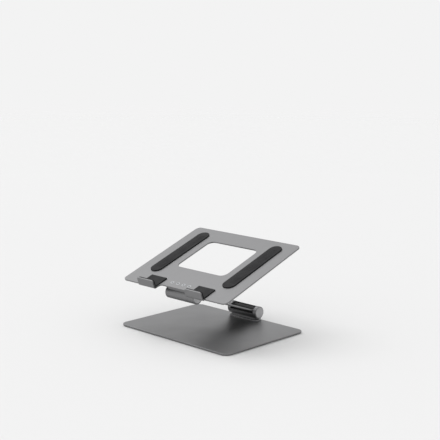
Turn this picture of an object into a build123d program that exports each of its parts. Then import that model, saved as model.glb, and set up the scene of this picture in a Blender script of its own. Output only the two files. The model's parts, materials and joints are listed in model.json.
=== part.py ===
from build123d import *
from math import cos, radians, sin
import os

# A folding laptop stand: a flat base, a flat arm and a tray, joined in a Z by two friction hinges.
# Millimetres. X runs along the front edge, Y to the rear, Z up.
# The origin is on the desk, under the middle of the stand's outline at rest.

os.makedirs("parts", exist_ok=True)

# Driving dimensions
BASE_WIDTH, BASE_DEPTH, BASE_THICK, BASE_RADIUS = 268.0, 203.0, 3.0, 14.5
BASE_Y = 3.0                    # middle of the base plate, behind the origin
FOOT_THICK, FOOT_RADIUS, FOOT_INSET = 1.0, 10.0, 22.0

ARM_LENGTH, ARM_ANGLE, ARM_THICK, ARM_WIDTH = 170.0, 19.5, 3.0, 55.4
ARM_OFFSET = 1.0                # middle of the arm's web above the line of the two axes

TRAY_TILT = 20.0
TRAY_WIDTH, TRAY_DEPTH, TRAY_THICK, TRAY_RADIUS = 256.0, 205.0, 2.5, 9.0
TRAY_FRONT = -23.5              # tray's front edge, ahead of the upper axis
LIP_FACE, LIP_TOP = -28.0, 35.3  # lip's outer face and top, from the upper axis
LIP_WIDTH, LIP_MIDDLE, LIP_CORNER = 40.0, 59.5, 4.0
NOTCH_REAR, NOTCH_RADIUS = -13.0, 6.0
WINDOW_WIDTH, WINDOW_DEPTH, WINDOW_MIDDLE, WINDOW_RADIUS = 120.0, 96.0, 96.0, 12.0
PAD_THICK, LIP_PAD_THICK = 2.0, 3.0

BARREL_RADIUS, CORE_HALF, COLLAR_WIDTH = 11.4, 29.0, 6.0
BASE_AXIS_HEIGHT, TRAY_AXIS_HEIGHT, HINGE_INSET = 15.5, 18.3, 11.0
SLOT_GAP, SLOT_BACK = 0.4, 6.5  # clearance below the arm, and how far the lower slot is cut back
FLANGE_LENGTH, FLANGE_WIDTH, FLANGE_THICK, NECK_WIDTH = 72.0, 22.0, 2.5, 12.0
CAP_RADIUS, CAP_THICK, CAP_SEAT = 9.8, 1.4, 1.0

SHAFT_RADIUS, BUSH_RADIUS, BEAD_RADIUS, LINER_RADIUS = 4.0, 5.2, 7.0, 8.2
RUNNING_GAP, SEAT_GAP, END_GAP, FREE_GAP = 0.05, 0.05, 0.1, 0.3
WASHER_THICK, SPRING_THICK, SPRING_RISE, BUSH_FLANGE, BUSH_LENGTH = 1.2, 0.8, 0.4, 1.0, 12.0
COUNTERBORE_RADIUS, HEAD_RADIUS, HEAD_THICK, NUT_FLATS = 6.7, 6.2, 3.0, 11.0
SCREW_RADIUS, SCREW_HEAD_RADIUS, SCREW_HEAD_THICK, SCREW_LENGTH = 2.0, 3.8, 1.8, 7.0
SCREW_PLACES = (-21.0, -7.0, 7.0, 21.0)
SCREW_SOCKET, SHAFT_SOCKET = 1.25, 2.5   # half the width across the flats
EDGE = 0.4                      # chamfer on the outer edges
HOLE_GAP = 0.15

# Sizes that follow from them
BORE_RADIUS = LINER_RADIUS + FREE_GAP
BARREL_HALF = CORE_HALF + COLLAR_WIDTH
SHAFT_HALF = BARREL_HALF - CAP_SEAT - 2 * END_GAP
WEB_LOW, WEB_HIGH = ARM_OFFSET - ARM_THICK / 2, ARM_OFFSET + ARM_THICK / 2
BEAD_LEFT = -CORE_HALF + WASHER_THICK + END_GAP + BUSH_FLANGE
SPRING_STACK = 2 * (SPRING_THICK + SPRING_RISE / 2)
BEAD_RIGHT = CORE_HALF - SPRING_STACK - WASHER_THICK - END_GAP - BUSH_FLANGE

BASE_TOP = FOOT_THICK + BASE_THICK
LOWER_AXIS = (0, BASE_Y + BASE_DEPTH / 2 - HINGE_INSET, BASE_TOP + BASE_AXIS_HEIGHT)
UPPER_AXIS = (
    0,
    LOWER_AXIS[1] - ARM_LENGTH * cos(radians(ARM_ANGLE)),
    LOWER_AXIS[2] + ARM_LENGTH * sin(radians(ARM_ANGLE)),
)
ARM_SIN, ARM_COS = sin(radians(ARM_ANGLE)), cos(radians(ARM_ANGLE))
TILT_SIN, TILT_COS = sin(radians(TRAY_TILT)), cos(radians(TRAY_TILT))

# Each group is drawn flat in its own frame, and these planes put it in its place at rest.
LOWER_HINGE = Plane(LOWER_AXIS, x_dir=(1, 0, 0), z_dir=(0, 0, 1))
ARM_FRAME = Plane(LOWER_AXIS, x_dir=(1, 0, 0), z_dir=(0, ARM_SIN, ARM_COS))
UPPER_HINGE = Plane(UPPER_AXIS, x_dir=(1, 0, 0), z_dir=(0, TILT_SIN, -TILT_COS))
TRAY_FRAME = Plane(UPPER_AXIS, x_dir=(1, 0, 0), z_dir=(0, -TILT_SIN, TILT_COS))
HOME = Plane.XY


def save(piece, name, place):
    """Move a finished piece from its own frame to its place, label it and write it."""
    placed = piece.part.moved(place.location)
    placed.label = name
    export_step(placed, f"parts/{name}.step")


def across(x):
    """A plane across the hinge's axis, facing +X, at x."""
    return Plane((x, 0, 0), x_dir=(0, 1, 0), z_dir=(1, 0, 0))


# Base ---------------------------------------------------------------------------------------
with BuildPart() as base_plate:
    with BuildSketch(Plane.XY.offset(FOOT_THICK)):
        with Locations((0, BASE_Y)):
            RectangleRounded(BASE_WIDTH, BASE_DEPTH, BASE_RADIUS)
    extrude(amount=BASE_THICK)
    rims = base_plate.faces().sort_by(Axis.Z)
    chamfer(rims[-1].edges() + rims[0].edges(), EDGE)
    with Locations(Plane((0, LOWER_AXIS[1], FOOT_THICK), z_dir=(0, 0, -1))):
        with Locations(*[(x, 0) for x in SCREW_PLACES]):
            CounterSinkHole(SCREW_RADIUS + HOLE_GAP, SCREW_HEAD_RADIUS + HOLE_GAP)
save(base_plate, "base_plate", HOME)

with BuildPart() as base_feet:
    with BuildSketch():
        with Locations((0, BASE_Y)):
            with GridLocations(BASE_WIDTH - 2 * FOOT_INSET, BASE_DEPTH - 2 * FOOT_INSET, 2, 2):
                Circle(FOOT_RADIUS)
    extrude(amount=FOOT_THICK)
    chamfer(base_feet.faces().sort_by(Axis.Z)[:4].edges(), 0.3)
save(base_feet, "base_feet", HOME)


# Hinge pieces, the same in both hinges. The axis is X, and the plate that carries the hinge lies
# below. The arm leaves towards -Y when folded flat, and towards +Z when it stands square.
def make_bracket(height, slot_floor, slot_rear):
    """Foot, neck and slotted barrel in one casting; the arm swings in the slot."""
    with BuildPart() as bracket:
        with BuildSketch(Plane.XY.offset(-height)):
            SlotOverall(FLANGE_LENGTH, FLANGE_WIDTH)
        extrude(amount=FLANGE_THICK)
        chamfer(bracket.faces().sort_by(Axis.Z)[-1].edges(), EDGE)
        with BuildSketch(Plane.XY.offset(-height + FLANGE_THICK)):
            Rectangle(2 * CORE_HALF, NECK_WIDTH)
        extrude(amount=height - FLANGE_THICK - BORE_RADIUS)
        with BuildSketch(across(-CORE_HALF)):
            Circle(BARREL_RADIUS)
        extrude(amount=2 * CORE_HALF)
        with BuildSketch(across(-CORE_HALF)):
            Circle(BORE_RADIUS)
            with Locations((slot_rear, slot_floor)):
                Rectangle(4 * BARREL_RADIUS, 4 * BARREL_RADIUS, align=(Align.MAX, Align.MIN))
        extrude(amount=2 * CORE_HALF, mode=Mode.SUBTRACT)
        with Locations(Plane((0, 0, -height), z_dir=(0, 0, -1))):
            with Locations(*[(x, 0) for x in SCREW_PLACES]):
                Hole(SCREW_RADIUS + SEAT_GAP, SCREW_LENGTH - TRAY_THICK + 0.5)
    return bracket


def make_collar(side, slot_floor, slot_rear):
    """End ring of the barrel; its key fills the end of the slot and stops it turning."""
    face = Plane((side * CORE_HALF, 0, 0), x_dir=(0, side, 0), z_dir=(side, 0, 0))
    with BuildPart() as collar:
        with BuildSketch(face):
            Circle(BARREL_RADIUS)
        extrude(amount=COLLAR_WIDTH)
        outer_rim = collar.faces().sort_by(Axis.X)[-1 if side > 0 else 0]
        chamfer(outer_rim.edges(), EDGE)
        with BuildSketch(face.offset(COLLAR_WIDTH - CAP_SEAT)):
            Circle(CAP_RADIUS + SEAT_GAP)
        extrude(amount=CAP_SEAT, mode=Mode.SUBTRACT)
        with BuildSketch(face.offset(COLLAR_WIDTH - CAP_SEAT - HEAD_THICK - 0.2)):
            Circle(COUNTERBORE_RADIUS)
        extrude(amount=HEAD_THICK + 0.2, mode=Mode.SUBTRACT)
        with BuildSketch(face):
            Circle(SHAFT_RADIUS + SEAT_GAP)
        extrude(amount=COLLAR_WIDTH, mode=Mode.SUBTRACT)
        with BuildSketch(across(side * (CORE_HALF - 0.5))):
            Circle(BARREL_RADIUS)
            Circle(BORE_RADIUS, mode=Mode.SUBTRACT)
            with Locations((slot_rear - HOLE_GAP, slot_floor + HOLE_GAP)):
                Rectangle(4 * BARREL_RADIUS, 4 * BARREL_RADIUS, align=(Align.MAX, Align.MIN),
                          mode=Mode.INTERSECT)
        extrude(amount=0.5, both=True)
    return collar


def make_cap(side):
    """Spun metal disc that hides the shaft's end."""
    face = Plane((side * (BARREL_HALF - CAP_SEAT), 0, 0), x_dir=(0, side, 0), z_dir=(side, 0, 0))
    with BuildPart() as cap:
        with BuildSketch(face):
            Circle(CAP_RADIUS)
        extrude(amount=CAP_THICK)
        chamfer(cap.faces().sort_by(Axis.X)[-1 if side > 0 else 0].edges(), 0.35)
    return cap


def make_shaft():
    """Shaft with a socket head at the left; the nut's thread is drawn plain."""
    with BuildPart() as shaft:
        with BuildSketch(across(-SHAFT_HALF)):
            Circle(SHAFT_RADIUS)
        extrude(amount=2 * SHAFT_HALF)
        with BuildSketch(across(-SHAFT_HALF)):
            Circle(HEAD_RADIUS)
        extrude(amount=HEAD_THICK)
        with BuildSketch(across(-SHAFT_HALF)):
            RegularPolygon(SHAFT_SOCKET, 6, major_radius=False)
        extrude(amount=2.2, mode=Mode.SUBTRACT)
    return shaft


def make_nut():
    """Thin lock nut that sets the hinge's friction."""
    with BuildPart() as nut:
        with BuildSketch(across(SHAFT_HALF - HEAD_THICK)):
            RegularPolygon(NUT_FLATS / 2, 6, major_radius=False)
            Circle(SHAFT_RADIUS + SEAT_GAP, mode=Mode.SUBTRACT)
        extrude(amount=HEAD_THICK)
    return nut


def make_washers():
    """Friction washers between the arm's bead and the two collars."""
    with BuildPart() as washers:
        for x in (-CORE_HALF, CORE_HALF - SPRING_STACK - WASHER_THICK):
            with BuildSketch(across(x)):
                Circle(BEAD_RADIUS + 0.9)
                Circle(SHAFT_RADIUS + HOLE_GAP, mode=Mode.SUBTRACT)
            extrude(amount=WASHER_THICK)
    return washers


def make_springs():
    """Two disc springs, set back to back, that keep the washers pressed."""
    inner, outer = SHAFT_RADIUS + 0.2, BEAD_RADIUS + 0.7
    start = CORE_HALF - SPRING_STACK
    with BuildPart() as springs:
        for lean in (1, -1):
            low, high = (0, SPRING_RISE / 2) if lean > 0 else (SPRING_RISE / 2, 0)
            foot = start if lean > 0 else start + SPRING_STACK / 2
            with BuildSketch(Plane.XZ):
                with BuildLine():
                    Polyline(
                        (foot + low, inner),
                        (foot + low + SPRING_THICK, inner),
                        (foot + high + SPRING_THICK, outer),
                        (foot + high, outer),
                        close=True,
                    )
                make_face()
            revolve(axis=Axis.X)
    return springs


def make_screws(head_plane_height, direction):
    """Countersunk machine screws that hold the bracket to its plate."""
    plane = Plane((0, 0, head_plane_height), z_dir=(0, 0, direction))
    with BuildPart() as screws:
        with BuildSketch(plane):
            with Locations(*[(x, 0) for x in SCREW_PLACES]):
                Circle(SCREW_RADIUS)
        extrude(amount=SCREW_LENGTH)
        for x in SCREW_PLACES:
            with Locations(plane):
                with Locations((x, 0, SCREW_HEAD_THICK / 2)):
                    Cone(SCREW_HEAD_RADIUS, SCREW_RADIUS, SCREW_HEAD_THICK)
        with BuildSketch(plane):
            with Locations(*[(x, 0) for x in SCREW_PLACES]):
                RegularPolygon(SCREW_SOCKET, 6, major_radius=False)
        extrude(amount=1.3, mode=Mode.SUBTRACT)
    return screws


LOWER_SLOT = (WEB_LOW - SLOT_GAP, SLOT_BACK)
UPPER_SLOT = (-WEB_HIGH - SLOT_GAP, -WEB_LOW + SLOT_GAP)
HINGES = (
    ("lower", LOWER_HINGE, BASE_AXIS_HEIGHT, BASE_THICK, LOWER_SLOT),
    ("upper", UPPER_HINGE, TRAY_AXIS_HEIGHT, TRAY_THICK, UPPER_SLOT),
)
for level, place, height, plate, slot in HINGES:
    save(make_bracket(height, *slot), f"{level}_bracket", place)
    save(make_screws(-height - plate, 1), f"{level}_bracket_screws", place)
    for side, word in ((-1, "left"), (1, "right")):
        save(make_collar(side, *slot), f"{level}_collar_{word}", place)
        save(make_cap(side), f"{level}_end_cap_{word}", place)
    save(make_shaft(), f"{level}_shaft", place)
    save(make_nut(), f"{level}_lock_nut", place)
    save(make_washers(), f"{level}_friction_washers", place)
    save(make_springs(), f"{level}_disc_springs", place)

# Arm ----------------------------------------------------------------------------------------
# Lower axis at the origin, upper axis at y = -ARM_LENGTH. One extrusion: bead, web, bead.
ENDS = (("lower", 0.0, -1), ("upper", -ARM_LENGTH, 1))
ROOT = BORE_RADIUS + FREE_GAP   # beyond this radius the web has its full width
with BuildPart() as arm:
    with BuildSketch(across(-ARM_WIDTH / 2)):
        with Locations((-ARM_LENGTH / 2, ARM_OFFSET)):
            Rectangle(ARM_LENGTH - 2 * ROOT, ARM_THICK)
    extrude(amount=ARM_WIDTH)
    fillet(arm.edges().filter_by(Axis.Y), ARM_THICK / 3)
    with BuildSketch(across(BEAD_LEFT)):
        with Locations((-ARM_LENGTH / 2, ARM_OFFSET)):
            Rectangle(ARM_LENGTH, ARM_THICK)
        with Locations((0, 0), (-ARM_LENGTH, 0)):
            Circle(BEAD_RADIUS)
    extrude(amount=BEAD_RIGHT - BEAD_LEFT)
    with BuildSketch(across(BEAD_LEFT)):
        with Locations((0, 0), (-ARM_LENGTH, 0)):
            Circle(BUSH_RADIUS)
    extrude(amount=BEAD_RIGHT - BEAD_LEFT, mode=Mode.SUBTRACT)
save(arm, "arm", ARM_FRAME)

for level, y, towards in ENDS:
    with BuildPart() as liner:
        with BuildSketch(across(BEAD_LEFT)):
            with Locations((y, 0)):
                Circle(LINER_RADIUS)
                Circle(BEAD_RADIUS + SEAT_GAP, mode=Mode.SUBTRACT)
            with Locations((y + towards * LINER_RADIUS, ARM_OFFSET)):
                Rectangle(2 * LINER_RADIUS, ARM_THICK + 2 * SEAT_GAP, mode=Mode.SUBTRACT)
        extrude(amount=BEAD_RIGHT - BEAD_LEFT)
    save(liner, f"{level}_liner", ARM_FRAME)

    with BuildPart() as bushings:
        for x, inward in ((BEAD_LEFT, 1), (BEAD_RIGHT, -1)):
            with BuildSketch(Plane((x, y, 0), x_dir=(0, 1, 0), z_dir=(inward, 0, 0))):
                Circle(BUSH_RADIUS - SEAT_GAP)
            extrude(amount=BUSH_LENGTH)
            with BuildSketch(Plane((x, y, 0), x_dir=(0, 1, 0), z_dir=(-inward, 0, 0))):
                Circle(BEAD_RADIUS)
            extrude(amount=BUSH_FLANGE)
        with BuildSketch(across(-CORE_HALF)):
            with Locations((y, 0)):
                Circle(SHAFT_RADIUS + RUNNING_GAP)
        extrude(amount=2 * CORE_HALF, mode=Mode.SUBTRACT)
    save(bushings, f"{level}_bushings", ARM_FRAME)

# Tray ---------------------------------------------------------------------------------------
# The upper axis is at the origin, and the tray lies above it.
TRAY_FLOOR = TRAY_AXIS_HEIGHT
TRAY_TOP = TRAY_FLOOR + TRAY_THICK
BEND = 4.0                      # outer radius of the lip's bend
NOTCH_WIDTH = 2 * LIP_MIDDLE - LIP_WIDTH
with BuildPart() as tray_plate:
    with BuildSketch(Plane.XY.offset(TRAY_FLOOR)) as outline:
        with Locations((0, TRAY_FRONT)):
            Rectangle(TRAY_WIDTH, TRAY_DEPTH, align=(Align.CENTER, Align.MIN))
        fillet(outline.vertices(), TRAY_RADIUS)
        with Locations((0, TRAY_FRONT)):
            Rectangle(NOTCH_WIDTH, 2 * (NOTCH_REAR - TRAY_FRONT), mode=Mode.SUBTRACT)
        notch_corners = outline.vertices().filter_by_position(Axis.Y, NOTCH_REAR - 1, NOTCH_REAR + 1)
        fillet(notch_corners, NOTCH_RADIUS)
        with Locations((0, WINDOW_MIDDLE)):
            RectangleRounded(WINDOW_WIDTH, WINDOW_DEPTH, WINDOW_RADIUS, mode=Mode.SUBTRACT)
    extrude(amount=TRAY_THICK)
    for side in (-1, 1):
        with BuildSketch(across(side * LIP_MIDDLE - LIP_WIDTH / 2)):
            with BuildLine():
                Polyline(
                    (TRAY_FRONT + 1, TRAY_FLOOR),
                    (LIP_FACE + BEND, TRAY_FLOOR),
                )
                RadiusArc((LIP_FACE + BEND, TRAY_FLOOR), (LIP_FACE, TRAY_FLOOR + BEND), BEND)
                Polyline(
                    (LIP_FACE, TRAY_FLOOR + BEND),
                    (LIP_FACE, LIP_TOP),
                    (LIP_FACE + TRAY_THICK, LIP_TOP),
                    (LIP_FACE + TRAY_THICK, TRAY_FLOOR + BEND),
                )
                RadiusArc((LIP_FACE + TRAY_THICK, TRAY_FLOOR + BEND),
                          (LIP_FACE + BEND, TRAY_TOP), -(BEND - TRAY_THICK))
                Polyline(
                    (LIP_FACE + BEND, TRAY_TOP),
                    (TRAY_FRONT + 1, TRAY_TOP),
                    (TRAY_FRONT + 1, TRAY_FLOOR),
                )
            make_face()
        extrude(amount=LIP_WIDTH)
    lip_tops = tray_plate.edges().filter_by(Axis.Y).group_by(Axis.Z)[-1]
    fillet(lip_tops, LIP_CORNER)
    with Locations(Plane((0, 0, TRAY_TOP), z_dir=(0, 0, 1))):
        with Locations(*[(x, 0) for x in SCREW_PLACES]):
            CounterSinkHole(SCREW_RADIUS + HOLE_GAP, SCREW_HEAD_RADIUS + HOLE_GAP)
save(tray_plate, "tray_plate", TRAY_FRAME)

# Silicone: an L-shaped pad in each lip, and two long strips that the laptop lies on.
LIP_PAD_REAR, PAD_MARGIN = 6.0, 1.0
for side, word in ((-1, "left"), (1, "right")):
    with BuildPart() as lip_pad:
        inner_face = LIP_FACE + TRAY_THICK
        with BuildSketch(Plane((side * LIP_MIDDLE, inner_face, 0), x_dir=(1, 0, 0), z_dir=(0, -1, 0))):
            with Locations((0, TRAY_TOP + 1.6)):
                Rectangle(LIP_WIDTH - PAD_MARGIN, LIP_TOP - TRAY_TOP - 1.6 - PAD_MARGIN / 2,
                          align=(Align.CENTER, Align.MIN))
        extrude(amount=-LIP_PAD_THICK)
        with BuildSketch(Plane.XY.offset(TRAY_TOP)):
            with Locations((side * LIP_MIDDLE, LIP_FACE + BEND)):
                Rectangle(LIP_WIDTH - PAD_MARGIN, LIP_PAD_REAR - LIP_FACE - BEND,
                          align=(Align.CENTER, Align.MIN))
        extrude(amount=PAD_THICK)
        fillet(lip_pad.edges().filter_by(Axis.Y).group_by(Axis.Z)[-1], LIP_CORNER - 1)
    save(lip_pad, f"lip_pad_{word}", TRAY_FRAME)

STRIP_WIDTH, STRIP_LENGTH, STRIP_MIDDLE_X, STRIP_MIDDLE_Y = 26.0, 148.0, 90.0, 92.0
for side, word in ((-1, "left"), (1, "right")):
    with BuildPart() as strip:
        with BuildSketch(Plane.XY.offset(TRAY_TOP)):
            with Locations((side * STRIP_MIDDLE_X, STRIP_MIDDLE_Y)):
                RectangleRounded(STRIP_WIDTH, STRIP_LENGTH, STRIP_WIDTH / 2 - 0.5)
        extrude(amount=PAD_THICK)
        fillet(strip.faces().sort_by(Axis.Z)[-1].edges(), 0.6)
    save(strip, f"tray_strip_{word}", TRAY_FRAME)
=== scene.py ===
import json
from math import cos, pi, radians, sin

import bmesh
import bpy
from mathutils import Matrix, Vector


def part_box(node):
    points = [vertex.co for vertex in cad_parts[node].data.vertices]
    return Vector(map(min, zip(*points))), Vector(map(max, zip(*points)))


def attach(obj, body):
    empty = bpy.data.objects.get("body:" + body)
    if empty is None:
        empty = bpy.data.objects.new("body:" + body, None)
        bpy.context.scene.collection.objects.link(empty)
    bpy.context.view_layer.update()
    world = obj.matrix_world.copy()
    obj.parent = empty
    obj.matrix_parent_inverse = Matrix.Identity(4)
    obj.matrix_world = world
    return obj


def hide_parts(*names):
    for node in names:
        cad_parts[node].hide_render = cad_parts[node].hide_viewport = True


bl_info = {
    "name": "Laptop Stand",
    "version": (1, 0, 0),
    "blender": (4, 5, 0),
    "location": "View3D > Sidebar > Laptop Stand",
    "description": "Finishes a folding aluminium laptop stand around its packed frame",
    "category": "Object",
}

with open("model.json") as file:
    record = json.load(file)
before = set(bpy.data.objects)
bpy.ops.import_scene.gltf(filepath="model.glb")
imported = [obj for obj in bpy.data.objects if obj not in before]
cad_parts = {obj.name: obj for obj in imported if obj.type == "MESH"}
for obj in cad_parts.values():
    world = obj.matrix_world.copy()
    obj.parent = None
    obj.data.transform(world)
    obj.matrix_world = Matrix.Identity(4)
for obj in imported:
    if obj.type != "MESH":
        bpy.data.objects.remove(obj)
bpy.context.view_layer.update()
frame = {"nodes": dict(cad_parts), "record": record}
NODES = frame["nodes"]
RECORD = frame["record"]
LEVELS = ("lower", "upper")
SIDES = ("left", "right")
AXIS_AT = {
    level: Vector(joint["pos_m"])
    for level, joint in zip(LEVELS, RECORD["behaviour"]["joints"])
}
TRAY_UP = Vector(next(m["axis"] for m in RECORD["mounts"] if m["name"] == "laptop_rest"))
BODY_OF = {node: body for body, nodes in RECORD["behaviour"]["bodies"].items() for node in nodes}
PLATES = ("base_plate", "arm", "tray_plate")
HINGE_CASTINGS = ("bracket", "collar_left", "collar_right")
STEEL_INSIDE = ("shaft", "lock_nut", "friction_washers", "disc_springs")
ACETAL_INSIDE = ("liner", "bushings")

MM = 0.001

# Meshes: angles in degrees
MERGE_GAP = 0.002 * MM             # corners nearer than this are one corner
FLAT_ANGLE = 0.3                   # neighbouring faces that turn by less are one face
ROUND_ANGLE, ROUND_STEPS = 40, 2   # edges that turn by more are rounded, in this many steps

# End caps
CAP_RIM = 0.6 * MM                 # width of the rounded rim
CAP_LAND, CAP_BEND = 1.6, 0.45     # where its flat land starts and where it bends, in rims
CAP_SHOULDER, CAP_FALL = 0.12 * MM, 0.4 * MM   # how far it falls at the bend and at the edge

# Pads and strips
PAD_ROUND = 0.5 * MM
STRIP_THICK = 2.0 * MM
RIB_HALF, RIB_CROWN = 0.36, 0.35   # half a rib's length and half its crown's, in strip widths
RIB_END, RIB_SUNK = 0.6, 0.45      # radius at its ends, and depth of its middle, in rib radii

# Screws
SCREWS_IN_ROW = 4
HEAD_RADIUS, HEAD_THICK = 3.8 * MM, 1.9 * MM
HEAD_EDGE_IN, HEAD_EDGE_DOWN = 0.15 * MM, 0.12 * MM
SOCKET_RADIUS, SOCKET_FLARE, SOCKET_DEPTH = 1.4 * MM, 1.06, 1.3 * MM
SHANK_RADIUS, SCREW_LENGTH = 1.95 * MM, 7.0 * MM
THREAD_PITCH, THREAD_DEPTH, THREAD_TURNS = 0.7 * MM, 0.28 * MM, 7
TIP_LENGTH, TIP_START, TIP_END = 0.3 * MM, 0.1 * MM, 0.5 * MM   # the last two below the shank
TRAY_TOP = 20.8 * MM               # upper face of the tray plate, from the upper axis

# Feet
FOOT_RADIUS = 10.0 * MM
GROOVE_DEPTH = 0.25 * MM
GROOVE_RADII = (0.55, 0.6, 0.66, 0.71)   # its inner slope, then its outer one, in foot radii
FOOT_EDGE, FOOT_SHOULDER_IN, FOOT_SHOULDER_UP = 0.4 * MM, 0.1 * MM, 0.12 * MM

# Stage: the floor's sizes in metres, angles in degrees
FLOOR_RADIUS, FLOOR_FADE = 7.0, (2.2, 6.3)
FLOOR_DROP = 0.02 * MM             # keeps the floor clear of the feet
SURROUND = "#F3F3F3"
LIGHT_FROM = Vector((-0.5, -0.1, 0.85))
LIGHT_SPREAD, LIGHT_POWER = 50, 1.2
CAMERA_AIM = Vector((-2.4, 25.8, 196.5)) * MM
CAMERA_DISTANCE, CAMERA_LENS = 1.8298, 83.7
CAMERA_AZIMUTH, CAMERA_ELEVATION, CAMERA_ROLL = 43.9, 10.07, 0.42


def srgb(code):
    """An sRGB hex colour as linear RGB."""
    parts = [int(code[i:i + 2], 16) / 255 for i in (1, 3, 5)]
    return tuple(c / 12.92 if c <= 0.04045 else ((c + 0.055) / 1.055) ** 2.4 for c in parts)


# Sizes and colours --------------------------------------------------------------------------
class FinishSizes(bpy.types.PropertyGroup):
    """Sizes of the details that the finish adds."""

    edge_round: bpy.props.FloatProperty(
        name="Edge round", description="Radius on the edges of the blasted parts",
        default=0.3 * MM, unit="LENGTH")
    grit: bpy.props.FloatProperty(
        name="Blast grit", description="Width of the dimples that blasting leaves",
        default=0.7 * MM, unit="LENGTH")
    ring_pitch: bpy.props.FloatProperty(
        name="Turning pitch", description="Distance between the rings turned in an end cap",
        default=0.55 * MM, unit="LENGTH")
    ring_depth: bpy.props.FloatProperty(
        name="Turning depth", description="Depth of the rings turned in an end cap",
        default=0.05 * MM, unit="LENGTH")
    rib_pitch: bpy.props.FloatProperty(
        name="Rib pitch", description="Distance between the ribs on a tray strip",
        default=4.0 * MM, unit="LENGTH")
    rib_radius: bpy.props.FloatProperty(
        name="Rib radius", description="Radius of the ribs on a tray strip",
        default=0.7 * MM, unit="LENGTH")


class FinishColours(bpy.types.PropertyGroup):
    """Colours of the finishes."""

    anodised: bpy.props.FloatVectorProperty(
        name="Anodised aluminium", description="Dark grey dye under the clear oxide",
        subtype="COLOR", size=3, default=srgb("#838384"))
    spun: bpy.props.FloatVectorProperty(
        name="Spun aluminium", description="Bare turned metal of the end caps",
        subtype="COLOR", size=3, default=srgb("#AAAAAB"))
    steel: bpy.props.FloatVectorProperty(
        name="Zinc-plated steel", description="Screws, shafts, nuts, washers and springs",
        subtype="COLOR", size=3, default=srgb("#A7A9AB"))
    silicone: bpy.props.FloatVectorProperty(
        name="Silicone", description="Black pads, strips and feet",
        subtype="COLOR", size=3, default=srgb("#121214"))
    acetal: bpy.props.FloatVectorProperty(
        name="Acetal", description="Black liners and bushings",
        subtype="COLOR", size=3, default=srgb("#0A0A0B"))
    floor: bpy.props.FloatVectorProperty(
        name="Floor", description="Pale paper that the stand is on",
        subtype="COLOR", size=3, default=srgb("#DDDDDD"))


# Materials ----------------------------------------------------------------------------------
def add(tree, kind, settings=None, links=None):
    """A node with its settings, by property or input, and the sockets that feed its inputs."""
    node = tree.nodes.new(kind)
    for key, value in (settings or {}).items():
        if isinstance(key, str) and key in node.bl_rna.properties:
            setattr(node, key, value)
        else:
            node.inputs[key].default_value = value
    for key, socket in (links or {}).items():
        tree.links.new(socket, node.inputs[key])
    return node


def new_material(name, colour, settings):
    """A material with one Principled shader, and that shader."""
    material = bpy.data.materials.new(name)
    material.use_nodes = True
    shader = material.node_tree.nodes["Principled BSDF"]
    shader.inputs["Base Color"].default_value = (*colour, 1.0)
    for key, value in settings.items():
        shader.inputs[key].default_value = value
    return material, shader


def surface_noise(tree, size, detail=2.0):
    """The strength of a noise on Object coordinates whose features are about this size."""
    place = add(tree, "ShaderNodeTexCoord")
    return add(tree, "ShaderNodeTexNoise", {"Scale": 1 / size, "Detail": detail},
               {"Vector": place.outputs["Object"]}).outputs["Fac"]


def vary(tree, noise, low, high):
    """A number that runs from low to high over the span that a noise mostly keeps to."""
    return add(tree, "ShaderNodeMapRange",
               {"From Min": 0.3, "From Max": 0.7, "To Min": low, "To Max": high},
               {"Value": noise}).outputs["Result"]


def tint(tree, noise, colour, dark, light):
    """A colour that wanders between a darker and a lighter shade of itself."""
    darker, lighter = ((*(c * shade for c in colour), 1) for shade in (dark, light))
    # Mix has sockets for each kind of value: inputs 6 and 7 and output 2 are the colours.
    mix = add(tree, "ShaderNodeMix", {"data_type": "RGBA", 6: darker, 7: lighter},
              {"Factor": noise})
    return mix.outputs[2]


def shape_surface(tree, shader, height=None, strength=0.0, depth=0.0, **sources):
    """Feed a shader's inputs, and its normal from the bumps that a height gives."""
    if height:
        bump = add(tree, "ShaderNodeBump", {"Strength": strength, "Distance": depth},
                   {"Height": height})
        tree.links.new(bump.outputs["Normal"], shader.inputs["Normal"])
    for label, source in sources.items():
        tree.links.new(source, shader.inputs[label.replace("_", " ")])


def blasted_anodised(scene):
    """Aluminium, glass-bead blasted and dyed dark grey: a soft wide sheen with a fine sparkle.
    Real grit is near 0.1 mm; it is drawn coarser, so that it shows."""
    colour = scene.stand_colours.anodised
    material, shader = new_material(
        "anodised_aluminium", colour, {"Metallic": 1.0, "Roughness": 0.42})
    tree = material.node_tree
    grit = surface_noise(tree, scene.stand_sizes.grit)
    cloud = surface_noise(tree, 60 * MM, 3.0)
    shape_surface(tree, shader, grit, 0.16, 0.05 * MM,
                  Roughness=vary(tree, cloud, 0.40, 0.47),
                  Base_Color=tint(tree, grit, colour, 0.94, 1.05))
    return material


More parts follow.
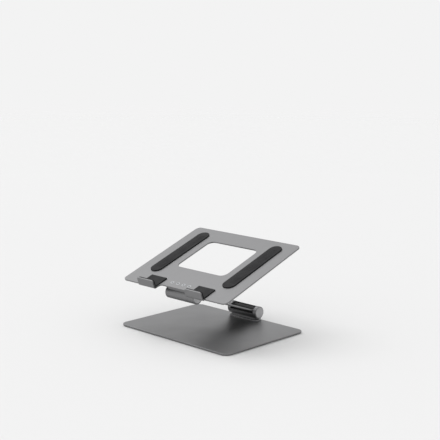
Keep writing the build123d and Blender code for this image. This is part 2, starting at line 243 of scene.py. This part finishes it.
def spun_aluminium(scene, level):
    """Aluminium turned on a lathe: fine rings round the hinge axis stretch each highlight."""
    colour = scene.stand_colours.spun
    material, shader = new_material(
        f"spun_aluminium_{level}", colour,
        {"Metallic": 1.0, "Roughness": 0.35, "Anisotropic": 0.75})
    tree = material.node_tree
    around = add(tree, "ShaderNodeTangent", {"direction_type": "RADIAL", "axis": "X"})
    place = add(tree, "ShaderNodeTexCoord")
    middle = add(tree, "ShaderNodeMapping", {"Location": -AXIS_AT[level]},
                 {"Vector": place.outputs["Object"]})
    parts = add(tree, "ShaderNodeSeparateXYZ", None, {"Vector": middle.outputs["Vector"]})
    flat = add(tree, "ShaderNodeCombineXYZ", None,
               {"X": parts.outputs["Y"], "Y": parts.outputs["Z"]})
    radius = add(tree, "ShaderNodeVectorMath", {"operation": "LENGTH"},
                 {0: flat.outputs["Vector"]})
    rings = add(tree, "ShaderNodeTexNoise",
                {"noise_dimensions": "1D", "Scale": 2 / scene.stand_sizes.ring_pitch,
                 "Detail": 3.0},
                {"W": radius.outputs["Value"]}).outputs["Fac"]
    shape_surface(tree, shader, rings, 0.5, 0.03 * MM,
                  Tangent=around.outputs["Tangent"],
                  Roughness=vary(tree, rings, 0.28, 0.42),
                  Base_Color=tint(tree, rings, colour, 0.88, 1.04))
    return material


def plated_steel(scene):
    """Steel, pressed and zinc plated: bright, with a faint cloud from the bath."""
    colour = scene.stand_colours.steel
    material, shader = new_material(
        "zinc_plated_steel", colour, {"Metallic": 1.0, "Roughness": 0.3})
    tree = material.node_tree
    cloud = surface_noise(tree, 3 * MM, 4.0)
    shape_surface(tree, shader, Roughness=vary(tree, cloud, 0.24, 0.4),
                  Base_Color=tint(tree, cloud, colour, 0.9, 1.05))
    return material


def moulded_silicone(scene):
    """Silicone rubber from a blasted mould: nearly black and dull, with a dusty edge sheen."""
    colour = scene.stand_colours.silicone
    material, shader = new_material(
        "black_silicone", colour,
        {"Roughness": 0.75, "IOR": 1.41, "Specular IOR Level": 0.35, "Sheen Weight": 0.06,
         "Sheen Roughness": 0.5})
    tree = material.node_tree
    skin = surface_noise(tree, 0.9 * MM, 3.0)
    dust = surface_noise(tree, 18 * MM, 4.0)
    shape_surface(tree, shader, skin, 0.25, 0.06 * MM,
                  Roughness=vary(tree, dust, 0.66, 0.8),
                  Base_Color=tint(tree, dust, colour, 0.85, 1.35))
    return material


def machined_acetal(scene):
    """Acetal, turned from rod: black with a waxy gloss."""
    colour = scene.stand_colours.acetal
    material, shader = new_material(
        "black_acetal", colour, {"Roughness": 0.6, "IOR": 1.48, "Specular IOR Level": 0.3})
    tree = material.node_tree
    cloud = surface_noise(tree, 4 * MM)
    shape_surface(tree, shader, Roughness=vary(tree, cloud, 0.54, 0.68),
                  Base_Color=tint(tree, cloud, colour, 0.9, 1.2))
    return material


FINISHES = {}


def finish(make, *args):
    """The material that this function makes, made the first time that it is asked for."""
    key = (make, *args)
    if key not in FINISHES:
        FINISHES[key] = make(bpy.context.scene, *args)
    return FINISHES[key]


# Mesh helpers -------------------------------------------------------------------------------
def dress(mesh, material):
    """Give a mesh this material alone."""
    mesh.materials.clear()
    mesh.materials.append(material)


def put(name, mesh, node, material):
    """Link a mesh as the finished piece that takes a CAD node's place on its body."""
    piece = bpy.data.objects.new(name, mesh)
    bpy.context.collection.objects.link(piece)
    dress(mesh, material)
    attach(piece, BODY_OF[node])
    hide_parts(node)


def merged_copy(node):
    """A CAD node's mesh with its loose triangles joined and its flat faces whole."""
    work = bmesh.new()
    work.from_mesh(NODES[node].data)
    bmesh.ops.remove_doubles(work, verts=work.verts, dist=MERGE_GAP)
    bmesh.ops.dissolve_limit(
        work, angle_limit=radians(FLAT_ANGLE), verts=work.verts, edges=work.edges)
    mesh = bpy.data.meshes.new(node)
    work.to_mesh(mesh)
    work.free()
    return mesh


def smooth_by_angle(mesh, degrees):
    """Smooth faces, with the edges that turn by more than this kept sharp."""
    for face in mesh.polygons:
        face.use_smooth = True
    mesh.set_sharp_from_angle(angle=radians(degrees))


def evaluated(piece):
    """The piece's mesh with its modifiers applied."""
    graph = bpy.context.evaluated_depsgraph_get()
    return bpy.data.meshes.new_from_object(piece.evaluated_get(graph), depsgraph=graph)


def rounded(mesh, width):
    """The same mesh with its edges rounded and its normals kept flat on the faces."""
    holder = bpy.data.objects.new("rounding", mesh)
    bpy.context.collection.objects.link(holder)
    bevel = holder.modifiers.new("round", "BEVEL")
    bevel.width, bevel.segments = width, ROUND_STEPS
    bevel.limit_method, bevel.angle_limit = "ANGLE", radians(ROUND_ANGLE)
    bevel.use_clamp_overlap = True
    level = holder.modifiers.new("level", "WEIGHTED_NORMAL")
    level.keep_sharp = True
    result = evaluated(holder)
    bpy.data.objects.remove(holder)
    return result


def cast(node, material, width):
    """A smooth, edge-rounded piece in place of a CAD node."""
    mesh = merged_copy(node)
    smooth_by_angle(mesh, 32)
    put(f"{node}_finished", rounded(mesh, width), node, material)


def lathe(outline, steps):
    """A closed solid of revolution about X from (x, radius) points that start and end on it."""
    work = bmesh.new()
    turns = [2 * pi * i / steps for i in range(steps)]
    rings = []
    for x, radius in outline:
        around = turns if radius else [0]
        rings.append([work.verts.new((x, radius * cos(t), radius * sin(t))) for t in around])
    for near, far in zip(rings, rings[1:]):
        for i in range(steps):
            j = (i + 1) % steps
            corners = (near[i % len(near)], near[j % len(near)],
                       far[j % len(far)], far[i % len(far)])
            work.faces.new(list(dict.fromkeys(corners)))
    bmesh.ops.recalc_face_normals(work, faces=work.faces)
    mesh = bpy.data.meshes.new("lathed")
    work.to_mesh(mesh)
    work.free()
    return mesh


def stand_up(mesh):
    """Turn a lathed mesh so that its outline runs up Z."""
    mesh.transform(Matrix.Rotation(-pi / 2, 4, "Y"))


def to_tray(origin):
    """The matrix from a flat frame, X across and Z up, to the tray's slope at a point."""
    across = Vector((1, 0, 0))
    back = TRAY_UP.cross(across)
    turn = Matrix((across, back, TRAY_UP)).transposed().to_4x4()
    return Matrix.Translation(origin) @ turn


# Outlines, as (x, radius) points ------------------------------------------------------------
def cap_outline(radius, thick, pitch, depth):
    """An end cap: a middle cut with rings, just below a rim that falls away at its edge."""
    valley, crest = thick - depth, thick - depth / 2
    rings = int((radius - 2 * CAP_RIM) / pitch)
    face = [(valley, 0)]
    for i in range(1, 2 * rings + 1):
        face.append((valley if i % 2 else crest, i * pitch / 2))
    return face + [
        (thick, radius - CAP_LAND * CAP_RIM), (thick, radius - CAP_RIM),
        (thick - CAP_SHOULDER, radius - CAP_BEND * CAP_RIM), (thick - CAP_FALL, radius),
        (0, radius), (0, 0)]


def rib_outline(strip_width, radius):
    """A rib's bar, with both ends rounded over."""
    half, crown = strip_width * RIB_HALF, strip_width * RIB_CROWN
    return [(-half, 0), (-half, radius * RIB_END), (-crown, radius),
            (crown, radius), (half, radius * RIB_END), (half, 0)]


def screw_outline():
    """A countersunk screw, head first: socket, cone, rings for the thread, and a blunt tip."""
    points = [
        (SOCKET_DEPTH, 0), (SOCKET_DEPTH, SOCKET_RADIUS), (0, SOCKET_RADIUS * SOCKET_FLARE),
        (0, HEAD_RADIUS - HEAD_EDGE_IN), (HEAD_EDGE_DOWN, HEAD_RADIUS),
        (HEAD_THICK, SHANK_RADIUS)]
    for i in range(THREAD_TURNS):
        at = HEAD_THICK + (i + 0.5) * THREAD_PITCH
        points += [(at, SHANK_RADIUS), (at + THREAD_PITCH / 2, SHANK_RADIUS - THREAD_DEPTH)]
    return points + [
        (SCREW_LENGTH - TIP_LENGTH, SHANK_RADIUS - TIP_START),
        (SCREW_LENGTH, SHANK_RADIUS - TIP_END), (SCREW_LENGTH, 0)]


def foot_outline(thick):
    """A foot from its sole up, with a ring groove in the sole and a rounded lower edge."""
    radius = FOOT_RADIUS
    depths = (0, GROOVE_DEPTH, GROOVE_DEPTH, 0)
    groove = [(depth, radius * ratio) for depth, ratio in zip(depths, GROOVE_RADII)]
    return [
        (0, 0), *groove, (0, radius - FOOT_EDGE),
        (FOOT_SHOULDER_UP, radius - FOOT_SHOULDER_IN), (FOOT_EDGE, radius),
        (thick, radius), (thick, 0)]


# Geometry Nodes -----------------------------------------------------------------------------
def new_tree(name, **kinds):
    """An empty geometry tree with a Geometry input and these named inputs."""
    tree = bpy.data.node_groups.new(name, "GeometryNodeTree")
    tree.interface.new_socket("Geometry", in_out="INPUT", socket_type="NodeSocketGeometry")
    tree.interface.new_socket("Geometry", in_out="OUTPUT", socket_type="NodeSocketGeometry")
    for label, kind in kinds.items():
        tree.interface.new_socket(label, in_out="INPUT", socket_type=f"NodeSocket{kind}")
    return tree, add(tree, "NodeGroupInput"), add(tree, "NodeGroupOutput")


def place_copies(tree, points, given, out, material):
    """Put the input mesh on each point, make it real, give it its material and send it out."""
    copies = add(tree, "GeometryNodeInstanceOnPoints", None,
                 {"Points": points, "Instance": given.outputs["Geometry"]})
    real = add(tree, "GeometryNodeRealizeInstances", None,
               {"Geometry": copies.outputs["Instances"]})
    dressed = add(tree, "GeometryNodeSetMaterial", {"Material": material},
                  {"Geometry": real.outputs["Geometry"]})
    tree.links.new(dressed.outputs["Geometry"], out.inputs["Geometry"])


def row_tree(material):
    """Copies of the input mesh in a row along X, centred."""
    tree, given, out = new_tree("row_of_copies", Count="Int", Pitch="Float")
    spans = add(tree, "ShaderNodeMath", {"operation": "SUBTRACT", 1: 1.0},
                {0: given.outputs["Count"]})
    length = add(tree, "ShaderNodeMath", {"operation": "MULTIPLY"},
                 {0: spans.outputs[0], 1: given.outputs["Pitch"]})
    start = add(tree, "ShaderNodeMath", {"operation": "MULTIPLY", 1: -0.5},
                {0: length.outputs[0]})
    first = add(tree, "ShaderNodeCombineXYZ", None, {"X": start.outputs[0]})
    step = add(tree, "ShaderNodeCombineXYZ", None, {"X": given.outputs["Pitch"]})
    line = add(tree, "GeometryNodeMeshLine", {"mode": "OFFSET"},
               {"Count": given.outputs["Count"], "Start Location": first.outputs[0],
                "Offset": step.outputs[0]})
    place_copies(tree, line.outputs["Mesh"], given, out, material)
    return tree


def corner_tree(material):
    """Copies of the input mesh at the four corners of a rectangle."""
    tree, given, out = new_tree("corner_copies", Width="Float", Depth="Float")
    grid = add(tree, "GeometryNodeMeshGrid", {"Vertices X": 2, "Vertices Y": 2},
               {"Size X": given.outputs["Width"], "Size Y": given.outputs["Depth"]})
    place_copies(tree, grid.outputs["Mesh"], given, out, material)
    return tree


def grown(mesh, tree, **numbers):
    """The mesh that a tree grows from this one, with the tree's inputs set."""
    holder = bpy.data.objects.new("growing", mesh)
    bpy.context.collection.objects.link(holder)
    modifier = holder.modifiers.new("grow", "NODES")
    modifier.node_group = tree
    names = {item.name: item.identifier for item in tree.interface.items_tree
             if item.in_out == "INPUT"}
    for label, value in numbers.items():
        modifier[names[label]] = value
    result = evaluated(holder)
    bpy.data.objects.remove(holder)
    return result


# Operators ----------------------------------------------------------------------------------
class STAND_OT_plates(bpy.types.Operator):
    """Finish the base plate, the arm and the tray plate"""

    bl_idname = "stand.plates"
    bl_label = "Plates and arm"

    def execute(self, context):
        width = context.scene.stand_sizes.edge_round
        for node in PLATES:
            cast(node, finish(blasted_anodised), width)
        return {"FINISHED"}


class STAND_OT_hinges(bpy.types.Operator):
    """Finish the two brackets and their four collars"""

    bl_idname = "stand.hinges"
    bl_label = "Hinge brackets and collars"

    def execute(self, context):
        width = context.scene.stand_sizes.edge_round
        for level in LEVELS:
            for part in HINGE_CASTINGS:
                cast(f"{level}_{part}", finish(blasted_anodised), width)
        return {"FINISHED"}


class STAND_OT_end_caps(bpy.types.Operator):
    """Turn the four end caps, with rings in each"""

    bl_idname = "stand.end_caps"
    bl_label = "End caps"

    def execute(self, context):
        sizes = context.scene.stand_sizes
        for level in LEVELS:
            for side in SIDES:
                node = f"{level}_end_cap_{side}"
                low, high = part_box(node)
                radius, thick = (high.z - low.z) / 2, high.x - low.x
                mesh = lathe(cap_outline(radius, thick, sizes.ring_pitch, sizes.ring_depth), 128)
                inner_face, turn = (low.x, 0) if side == "right" else (high.x, pi)
                middle = (low + high) / 2
                mesh.transform(Matrix.Translation((inner_face, middle.y, middle.z))
                               @ Matrix.Rotation(turn, 4, "Z"))
                smooth_by_angle(mesh, 30)
                put(f"{node}_spun", mesh, node, finish(spun_aluminium, level))
        return {"FINISHED"}


class STAND_OT_lip_pads(bpy.types.Operator):
    """Mould the silicone pads in the two lips"""

    bl_idname = "stand.lip_pads"
    bl_label = "Lip pads"

    def execute(self, context):
        for side in SIDES:
            cast(f"lip_pad_{side}", finish(moulded_silicone), PAD_ROUND)
        return {"FINISHED"}


class STAND_OT_strips(bpy.types.Operator):
    """Mould the two ribbed silicone strips on the tray"""

    bl_idname = "stand.strips"
    bl_label = "Tray strips"

    def execute(self, context):
        sizes = context.scene.stand_sizes
        quarter = Matrix.Rotation(pi / 2, 4, "Z")
        for side in SIDES:
            node = f"tray_strip_{side}"
            low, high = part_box(node)
            width = high.x - low.x
            length = (high.y - low.y - STRIP_THICK * abs(TRAY_UP.y)) / TRAY_UP.z
            bar = lathe(rib_outline(width, sizes.rib_radius), 16)
            bar.transform(quarter)
            ribs = grown(bar, row_tree(finish(moulded_silicone)),
                         Count=int((length - width) / sizes.rib_pitch), Pitch=sizes.rib_pitch)
            ribs.transform(quarter)
            rise = STRIP_THICK / 2 - sizes.rib_radius * RIB_SUNK
            ribs.transform(to_tray((low + high) / 2 + TRAY_UP * rise))
            smooth_by_angle(ribs, 50)
            strip = merged_copy(node)
            smooth_by_angle(strip, 50)
            work = bmesh.new()
            work.from_mesh(strip)
            work.from_mesh(ribs)
            work.to_mesh(strip)
            work.free()
            put(f"{node}_ribbed", strip, node, finish(moulded_silicone))
        return {"FINISHED"}


class STAND_OT_screws(bpy.types.Operator):
    """Make the countersunk screws that hold the brackets"""

    bl_idname = "stand.screws"
    bl_label = "Bracket screws"

    def execute(self, context):
        for level in LEVELS:
            node = f"{level}_bracket_screws"
            low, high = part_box(node)
            screw = lathe(screw_outline(), 30)
            stand_up(screw)
            pitch = (high.x - low.x - 2 * HEAD_RADIUS) / (SCREWS_IN_ROW - 1)
            row = grown(screw, row_tree(finish(plated_steel)), Count=SCREWS_IN_ROW, Pitch=pitch)
            if level == "lower":
                row.transform(Matrix.Translation((0, AXIS_AT[level].y, low.z)))
            else:
                row.transform(to_tray(AXIS_AT[level] + TRAY_UP * TRAY_TOP)
                              @ Matrix.Rotation(pi, 4, "X"))
            smooth_by_angle(row, 35)
            put(f"{node}_threaded", row, node, finish(plated_steel))
        return {"FINISHED"}


class STAND_OT_feet(bpy.types.Operator):
    """Mould the four feet, with a ring groove in each"""

    bl_idname = "stand.feet"
    bl_label = "Feet"

    def execute(self, context):
        node = "base_feet"
        low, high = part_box(node)
        foot = lathe(foot_outline(high.z - low.z), 72)
        stand_up(foot)
        spread = high - low
        feet = grown(foot, corner_tree(finish(moulded_silicone)),
                     Width=spread.x - 2 * FOOT_RADIUS, Depth=spread.y - 2 * FOOT_RADIUS)
        middle = (low + high) / 2
        feet.transform(Matrix.Translation((middle.x, middle.y, low.z)))
        smooth_by_angle(feet, 40)
        put(f"{node}_moulded", feet, node, finish(moulded_silicone))
        return {"FINISHED"}


class STAND_OT_hidden_parts(bpy.types.Operator):
    """Give the pieces inside the hinges their finishes"""

    bl_idname = "stand.hidden_parts"
    bl_label = "Inside the hinges"

    def execute(self, context):
        for make, parts in ((plated_steel, STEEL_INSIDE), (machined_acetal, ACETAL_INSIDE)):
            for part in parts:
                for level in LEVELS:
                    dress(NODES[f"{level}_{part}"].data, finish(make))
        return {"FINISHED"}


class STAND_OT_stage(bpy.types.Operator):
    """Set out the floor, the lights and the camera"""

    bl_idname = "stand.stage"
    bl_label = "Stage"

    def execute(self, context):
        scene = context.scene
        scene.view_settings.view_transform = "Standard"
        self.make_floor(scene)
        self.make_world(scene)
        self.make_light(scene)
        self.make_camera(scene)
        return {"FINISHED"}

    def make_floor(self, scene):
        """A pale sheet that fades into the background far from the stand."""
        work = bmesh.new()
        bmesh.ops.create_circle(work, cap_ends=True, radius=FLOOR_RADIUS, segments=128)
        mesh = bpy.data.meshes.new("floor")
        work.to_mesh(mesh)
        work.free()
        floor = bpy.data.objects.new("floor", mesh)
        floor.location.z = -FLOOR_DROP
        scene.collection.objects.link(floor)
        material, shader = new_material(
            "pale_paper", scene.stand_colours.floor, {"Roughness": 0.9})
        tree = material.node_tree
        place = add(tree, "ShaderNodeTexCoord")
        reach = add(tree, "ShaderNodeVectorMath", {"operation": "LENGTH"},
                    {0: place.outputs["Object"]})
        fade = add(tree, "ShaderNodeMapRange",
                   {"From Min": FLOOR_FADE[0], "From Max": FLOOR_FADE[1]},
                   {"Value": reach.outputs["Value"]})
        clear = add(tree, "ShaderNodeBsdfTransparent")
        mix = add(tree, "ShaderNodeMixShader", None,
                  {0: fade.outputs["Result"], 1: shader.outputs[0], 2: clear.outputs[0]})
        tree.links.new(mix.outputs[0], tree.nodes["Material Output"].inputs["Surface"])
        dress(mesh, material)

    def make_world(self, scene):
        """An even pale surround, as from studio walls."""
        world = bpy.data.worlds.new("surround")
        world.use_nodes = True
        background = world.node_tree.nodes["Background"]
        background.inputs["Color"].default_value = (*srgb(SURROUND), 1)
        background.inputs["Strength"].default_value = 1.0
        scene.world = world

    def make_light(self, scene):
        """A wide soft light over the left of the stand, even across the whole floor."""
        light = bpy.data.lights.new("overhead", "SUN")
        light.angle, light.energy = radians(LIGHT_SPREAD), LIGHT_POWER
        lamp = bpy.data.objects.new("overhead", light)
        lamp.rotation_euler = (-LIGHT_FROM).to_track_quat("-Z", "Y").to_euler()
        scene.collection.objects.link(lamp)

    def make_camera(self, scene):
        """A long lens, low on the right of the front."""
        turn, rise = radians(CAMERA_AZIMUTH), radians(CAMERA_ELEVATION)
        back = Vector((sin(turn) * cos(rise), -cos(turn) * cos(rise), sin(rise)))
        lens = bpy.data.cameras.new("camera")
        lens.lens = CAMERA_LENS
        camera = bpy.data.objects.new("camera", lens)
        camera.location = CAMERA_AIM + back * CAMERA_DISTANCE
        facing = (-back).to_track_quat("-Z", "Y").to_matrix().to_4x4()
        roll = Matrix.Rotation(radians(CAMERA_ROLL), 4, "Z")
        camera.rotation_euler = (facing @ roll).to_euler()
        scene.collection.objects.link(camera)
        scene.camera = camera


OPERATORS = (
    STAND_OT_plates, STAND_OT_hinges, STAND_OT_end_caps, STAND_OT_lip_pads, STAND_OT_strips,
    STAND_OT_screws, STAND_OT_feet, STAND_OT_hidden_parts, STAND_OT_stage,
)


class STAND_PT_panel(bpy.types.Panel):
    """Steps that finish the stand"""

    bl_idname = "STAND_PT_panel"
    bl_label = "Laptop Stand"
    bl_space_type = "VIEW_3D"
    bl_region_type = "UI"
    bl_category = "Laptop Stand"

    def draw(self, context):
        for group in (context.scene.stand_sizes, context.scene.stand_colours):
            for name in group.bl_rna.properties.keys():
                if name not in ("rna_type", "name"):
                    self.layout.prop(group, name)
        for operator in OPERATORS:
            self.layout.operator(operator.bl_idname)


CLASSES = (FinishSizes, FinishColours, *OPERATORS, STAND_PT_panel)


def register():
    for cls in CLASSES:
        bpy.utils.register_class(cls)
    bpy.types.Scene.stand_sizes = bpy.props.PointerProperty(type=FinishSizes)
    bpy.types.Scene.stand_colours = bpy.props.PointerProperty(type=FinishColours)


def unregister():
    del bpy.types.Scene.stand_sizes
    del bpy.types.Scene.stand_colours
    for cls in reversed(CLASSES):
        bpy.utils.unregister_class(cls)


def main():
    register()
    for operator in OPERATORS:
        group, name = operator.bl_idname.split(".")
        getattr(getattr(bpy.ops, group), name)()


if __name__ == "__main__":
    main()
